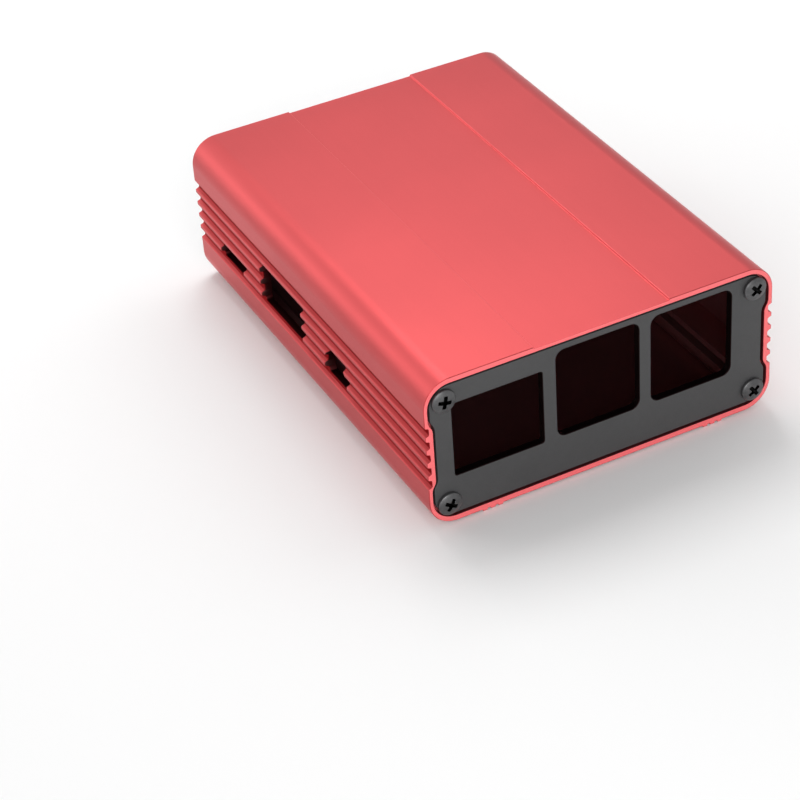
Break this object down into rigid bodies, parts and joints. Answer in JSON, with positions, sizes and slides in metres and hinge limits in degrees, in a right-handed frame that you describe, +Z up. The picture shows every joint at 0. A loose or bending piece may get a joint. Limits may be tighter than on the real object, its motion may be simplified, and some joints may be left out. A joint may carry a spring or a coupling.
{
  "type": "single-board computer case",
  "caption": "Extruded aluminium case for a single-board computer: a finned one-piece sleeve, sheet end panels held by screws, and openings for ports at the front and one side.",
  "frame": {"origin": "centre of the base, on the plane of the foot ribs", "axes": "+X to the right seen from the front panel, +Y from the front panel to the rear panel, +Z up"},
  "size_m": [0.066, 0.0926, 0.0289],
  "materials": {
    "anodised_red": "satin, bead-blasted and anodised red",
    "panel_black": "matt black",
    "screw_black": "satin black"
  },
  "bodies": {
    "root": {"sleeve": "anodised_red", "front_panel": "panel_black", "rear_panel": "panel_black", "front_screws": "screw_black", "rear_screws": "screw_black"}
  },
  "joints": []
}
